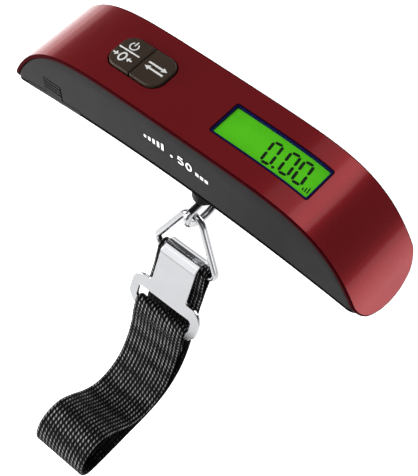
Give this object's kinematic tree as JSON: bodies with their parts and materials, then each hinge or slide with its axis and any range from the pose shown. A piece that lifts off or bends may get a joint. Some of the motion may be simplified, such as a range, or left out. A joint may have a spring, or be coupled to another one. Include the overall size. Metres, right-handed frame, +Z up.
{
  "type": "digital luggage scale",
  "caption": "Arched hand-held digital luggage scale: window, two keys, swivelling load eye, triangular ring, and a webbing sling closed by a bent hook plate.",
  "frame": {"origin": "on the load post's axis, level with the case's four lower corners", "axes": "+X along the grip from the keys to the display, +Y to the side away from the one the sling leans to, +Z up through the top of the arch"},
  "size_m": [0.1328, 0.0851, 0.1128],
  "materials": {
    "cover": "glossy dark red, faintly metallic moulding",
    "housing": "matte dark grey moulding",
    "black_plastic": "semi-gloss black moulding",
    "key": "satin brown-black key caps with white print",
    "lens": "clear moulded window",
    "lcd": "green backlit liquid crystal cell",
    "backlight": "translucent green light guide",
    "holder": "black display frame",
    "rubber": "striped conductive rubber",
    "board": "green glass-fibre laminate",
    "switch": "tinplate switch can with a black plunger",
    "chip": "black epoxy drop",
    "aluminium": "machined",
    "gauge": "amber foil gauge",
    "lead": "red insulated lead",
    "screw": "plated steel",
    "chrome": "bright plated steel",
    "cell": "stainless steel can",
    "contact": "spring contact",
    "webbing": "black woven webbing with a coarse pale weave"
  },
  "bodies": {
    "case": {"top_cover": "cover", "base_housing": "housing", "lcd_lens": "lens", "post_collar": "black_plastic", "case_screw_1": "screw", "case_screw_2": "screw", "case_screw_3": "screw", "case_screw_4": "screw", "circuit_board": "board", "controller_chip": "chip", "power_switch": "switch", "unit_switch": "switch", "lcd_panel": "lcd", "lcd_holder": "holder", "backlight_guide": "backlight", "connector_strip_front": "rubber", "connector_strip_back": "rubber", "battery_holder": "black_plastic", "coin_cell": "cell", "battery_contact_top": "contact", "battery_contact_bottom": "contact", "load_cell": "aluminium", "load_cell_screw_1": "screw", "load_cell_screw_2": "screw", "strain_gauge_top": "gauge", "strain_gauge_bottom": "gauge", "gauge_lead": "lead"},
    "battery_door": {"battery_door": "housing"},
    "power_key": {"power_button": "key"},
    "unit_key": {"unit_button": "key"},
    "post": {"eye_post": "chrome", "post_nut": "screw", "post_washer": "screw"},
    "ring": {"triangle_ring": "chrome"},
    "sling": {"sling_webbing": "webbing"},
    "hook": {"hook_plate": "chrome", "sling_hook_end": "webbing"}
  },
  "joints": [
    {"name": "battery_door_slide", "type": "slide", "parent": "case", "child": "battery_door", "axis": [0, -1, 0], "range_m": [0, 0.024]},
    {"name": "power_key_press", "type": "slide", "parent": "case", "child": "power_key", "axis": [0, 0, -1], "range_m": [0, 0.0006], "stiffness_N_per_m": 500, "springref_m": -0.0004},
    {"name": "unit_key_press", "type": "slide", "parent": "case", "child": "unit_key", "axis": [0, 0, -1], "range_m": [0, 0.0006], "stiffness_N_per_m": 500, "springref_m": -0.0004},
    {"name": "post_swivel", "type": "hinge", "parent": "case", "child": "post", "pos_m": [0, 0, 0], "axis": [0, 0, 1], "continuous": true},
    {"name": "ring_swing", "type": "hinge", "parent": "post", "child": "ring", "pos_m": [0, -0.0051, -0.0218], "axis": [1, 0, 0], "range_deg": [-45, 60]},
    {"name": "sling_swing", "type": "hinge", "parent": "ring", "child": "sling", "pos_m": [0, -0.0099, -0.0406], "axis": [1, 0, 0], "range_deg": [-35, 60]},
    {"name": "hook_lift", "type": "slide", "parent": "sling", "child": "hook", "axis": [0, 0.4147, 0.91], "range_m": [0, 0.004]}
  ]
}
